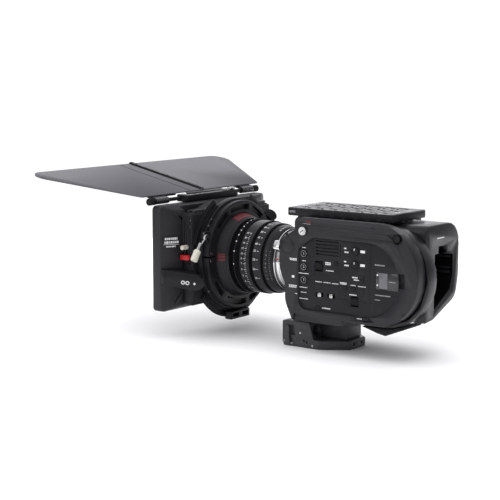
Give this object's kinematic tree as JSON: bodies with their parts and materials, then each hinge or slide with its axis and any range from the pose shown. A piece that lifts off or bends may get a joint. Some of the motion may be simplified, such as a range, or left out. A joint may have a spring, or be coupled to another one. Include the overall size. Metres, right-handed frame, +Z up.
{
  "type": "cinema camera rig",
  "caption": "Shoulder-style cinema camera with zoom lens, clamp-on matte box and top flag, drilled top plate, battery bay and rod-clamp base.",
  "frame": {"origin": "middle of the base's foot, on the surface that it stands on", "axes": "+Z up, -Y the way the lens points, +X towards the operator's side with the control panel"},
  "size_m": [0.404, 0.521, 0.2241],
  "materials": {
    "shell_metal": "matte",
    "hood_plastic": "matte",
    "panel_plastic": "satin",
    "anodised": "satin",
    "lens_metal": "satin",
    "rubber": "matte",
    "flag_sheet": "matte",
    "chrome": "polished",
    "steel": "satin",
    "red": "satin",
    "glass": "polished",
    "board": "satin"
  },
  "bodies": {
    "camera": {"left_cover": "shell_metal", "mid_frame": "shell_metal", "right_cover": "shell_metal", "battery_shell": "shell_metal", "control_panel": "panel_plastic", "battery_contacts": "panel_plastic", "top_plate": "anodised", "image_sensor": "board", "main_board": "board", "lens_front_barrel": "lens_metal", "front_element": "glass", "lens_core": "lens_metal", "lens_mount_flange": "chrome", "mount_adapter": "anodised", "hood": "hood_plastic", "filter_stage": "hood_plastic", "stage_ring": "anodised", "clamp_ring": "anodised", "side_arm_left": "hood_plastic", "side_arm_right": "hood_plastic", "bottom_bracket": "anodised", "flag_mount": "anodised", "base_plate": "anodised", "camera_riser": "anodised", "shoulder_pad": "rubber"},
    "flag": {"top_flag": "flag_sheet", "flag_hinge_rod": "steel", "flag_clamp_left": "anodised", "flag_clamp_right": "anodised"},
    "flag_knob_left": {"flag_knob_left": "rubber"},
    "flag_knob_right": {"flag_knob_right": "rubber"},
    "flag_lock_lever": {"flag_lock_lever": "steel"},
    "clamp_lever": {"clamp_lever": "steel"},
    "stage_lock_knob": {"stage_lock_knob": "rubber"},
    "stage_thumbscrew": {"stage_thumbscrew": "steel"},
    "tray_lock_lever": {"tray_lock_lever": "red"},
    "front_filter_tray": {"front_filter_tray": "hood_plastic"},
    "rear_filter_tray": {"rear_filter_tray": "hood_plastic"},
    "focus_ring": {"focus_ring": "lens_metal"},
    "zoom_ring": {"zoom_ring": "lens_metal"},
    "iris_ring": {"iris_ring": "lens_metal"},
    "zoom_group": {"zoom_group": "glass"},
    "iris_diaphragm": {"iris_diaphragm": "anodised"},
    "mount_lock_ring": {"mount_lock_ring": "chrome"},
    "mount_lever": {"mount_lever": "panel_plastic"},
    "media_door": {"media_door": "panel_plastic"},
    "record_button": {"record_button": "steel"},
    "assign_button_1": {"assign_button_1": "rubber"},
    "assign_button_2": {"assign_button_2": "rubber"},
    "assign_button_3": {"assign_button_3": "rubber"},
    "menu_key_1": {"menu_key_1": "rubber"},
    "menu_key_2": {"menu_key_2": "rubber"},
    "audio_dial_1": {"audio_dial_1": "rubber"},
    "audio_dial_2": {"audio_dial_2": "rubber"},
    "nd_turret": {"nd_turret": "anodised"},
    "nd_wheel": {"nd_wheel": "rubber"},
    "select_wheel": {"select_wheel": "rubber"},
    "gain_switch": {"gain_switch": "steel"},
    "white_balance_switch": {"white_balance_switch": "steel"},
    "rod_lock_lever": {"rod_lock_lever": "anodised"}
  },
  "joints": [
    {"name": "flag_tilt", "type": "hinge", "parent": "camera", "child": "flag", "pos_m": [0, -0.208, 0.1845], "axis": [-1, 0, 0], "range_deg": [-100, 50]},
    {"name": "flag_knob_left_turn", "type": "hinge", "parent": "flag", "child": "flag_knob_left", "pos_m": [0.1094, -0.208, 0.1845], "axis": [1, 0, 0], "range_deg": [-180, 180]},
    {"name": "flag_knob_right_turn", "type": "hinge", "parent": "flag", "child": "flag_knob_right", "pos_m": [-0.1094, -0.208, 0.1845], "axis": [-1, 0, 0], "range_deg": [-180, 180]},
    {"name": "flag_lock_lever_turn", "type": "hinge", "parent": "camera", "child": "flag_lock_lever", "pos_m": [-0.048, -0.1975, 0.1895], "axis": [0, 0, 1], "range_deg": [0, 90]},
    {"name": "clamp_lever_turn", "type": "hinge", "parent": "camera", "child": "clamp_lever", "pos_m": [0.077, -0.1456, 0.138], "axis": [0, -1, 0], "range_deg": [0, 80]},
    {"name": "stage_lock_knob_turn", "type": "hinge", "parent": "camera", "child": "stage_lock_knob", "pos_m": [-0.06686, -0.151, 0.14717], "axis": [-0.8572, 0, 0.515], "range_deg": [-180, 180]},
    {"name": "stage_thumbscrew_turn", "type": "hinge", "parent": "camera", "child": "stage_thumbscrew", "pos_m": [0.0863, -0.1705, 0.124], "axis": [1, 0, 0], "range_deg": [-180, 180]},
    {"name": "tray_lock_turn", "type": "hinge", "parent": "camera", "child": "tray_lock_lever", "pos_m": [0.09, -0.1662, 0.1102], "axis": [0, 0, 1], "range_deg": [0, 55]},
    {"name": "front_tray_slide", "type": "slide", "parent": "camera", "child": "front_filter_tray", "axis": [0, 0, 1], "range_m": [0, 0.115]},
    {"name": "rear_tray_slide", "type": "slide", "parent": "camera", "child": "rear_filter_tray", "axis": [0, 0, 1], "range_m": [0, 0.115]},
    {"name": "focus_turn", "type": "hinge", "parent": "camera", "child": "focus_ring", "pos_m": [0, -0.112, 0.107], "axis": [0, 1, 0], "range_deg": [-150, 150]},
    {"name": "zoom_turn", "type": "hinge", "parent": "camera", "child": "zoom_ring", "pos_m": [0, -0.087, 0.107], "axis": [0, 1, 0], "range_deg": [-80, 80]},
    {"name": "iris_turn", "type": "hinge", "parent": "camera", "child": "iris_ring", "pos_m": [0, -0.07, 0.107], "axis": [0, 1, 0], "range_deg": [-40, 35]},
    {"name": "zoom_group_slide", "type": "slide", "parent": "camera", "child": "zoom_group", "axis": [0, 1, 0], "range_m": [-0.009, 0.009]},
    {"name": "iris_diaphragm_turn", "type": "hinge", "parent": "camera", "child": "iris_diaphragm", "pos_m": [0, -0.0816, 0.107], "axis": [0, 1, 0], "range_deg": [-40, 35]},
    {"name": "mount_lock_ring_turn", "type": "hinge", "parent": "camera", "child": "mount_lock_ring", "pos_m": [0, -0.054, 0.107], "axis": [0, 1, 0], "range_deg": [0, 30]},
    {"name": "mount_lever_turn", "type": "hinge", "parent": "camera", "child": "mount_lever", "pos_m": [0, -0.0448, 0.107], "axis": [0, 1, 0], "range_deg": [0, 30]},
    {"name": "media_door_swing", "type": "hinge", "parent": "camera", "child": "media_door", "pos_m": [0.0632, 0.1024, 0.107], "axis": [0, 0, -1], "range_deg": [0, 100]},
    {"name": "record_press", "type": "slide", "parent": "camera", "child": "record_button", "axis": [-1, 0, 0], "range_m": [0, 0.001], "stiffness_N_per_m": 400},
    {"name": "assign_1_press", "type": "slide", "parent": "camera", "child": "assign_button_1", "axis": [-1, 0, 0], "range_m": [0, 0.0008], "stiffness_N_per_m": 400},
    {"name": "assign_2_press", "type": "slide", "parent": "camera", "child": "assign_button_2", "axis": [-1, 0, 0], "range_m": [0, 0.0008], "stiffness_N_per_m": 400},
    {"name": "assign_3_press", "type": "slide", "parent": "camera", "child": "assign_button_3", "axis": [-1, 0, 0], "range_m": [0, 0.0008], "stiffness_N_per_m": 400},
    {"name": "menu_key_1_press", "type": "slide", "parent": "camera", "child": "menu_key_1", "axis": [-1, 0, 0], "range_m": [0, 0.0006], "stiffness_N_per_m": 400},
    {"name": "menu_key_2_press", "type": "slide", "parent": "camera", "child": "menu_key_2", "axis": [-1, 0, 0], "range_m": [0, 0.0006], "stiffness_N_per_m": 400},
    {"name": "audio_dial_1_turn", "type": "hinge", "parent": "camera", "child": "audio_dial_1", "pos_m": [0.0585, 0.079, 0.137], "axis": [1, 0, 0], "range_deg": [-140, 140]},
    {"name": "audio_dial_2_turn", "type": "hinge", "parent": "camera", "child": "audio_dial_2", "pos_m": [0.0585, 0.079, 0.1198], "axis": [1, 0, 0], "range_deg": [-140, 140]},
    {"name": "nd_turret_turn", "type": "hinge", "parent": "camera", "child": "nd_turret", "pos_m": [-0.016, -0.0275, 0.124], "axis": [0, 1, 0], "range_deg": [0, 270]},
    {"name": "nd_wheel_turn", "type": "hinge", "parent": "camera", "child": "nd_wheel", "pos_m": [0.0578, 0.0254, 0.1134], "axis": [0, 1, 0], "range_deg": [0, 270]},
    {"name": "select_wheel_turn", "type": "hinge", "parent": "camera", "child": "select_wheel", "pos_m": [0.0578, 0.0795, 0.0735], "axis": [0, 1, 0], "continuous": true},
    {"name": "gain_switch_slide", "type": "slide", "parent": "camera", "child": "gain_switch", "axis": [0, 1, 0], "range_m": [-0.003, 0.003]},
    {"name": "white_balance_switch_slide", "type": "slide", "parent": "camera", "child": "white_balance_switch", "axis": [0, 1, 0], "range_m": [-0.003, 0.003]},
    {"name": "rod_lock_lever_turn", "type": "hinge", "parent": "camera", "child": "rod_lock_lever", "pos_m": [0.0423, -0.035, 0.008], "axis": [1, 0, 0], "range_deg": [0, 90]}
  ],
  "couplings": [
    {"joint": "zoom_group_slide", "follows": "zoom_turn", "m_per_rad": 0.006},
    {"joint": "iris_diaphragm_turn", "follows": "iris_turn", "ratio": 1},
    {"joint": "nd_wheel_turn", "follows": "nd_turret_turn", "ratio": 1}
  ]
}
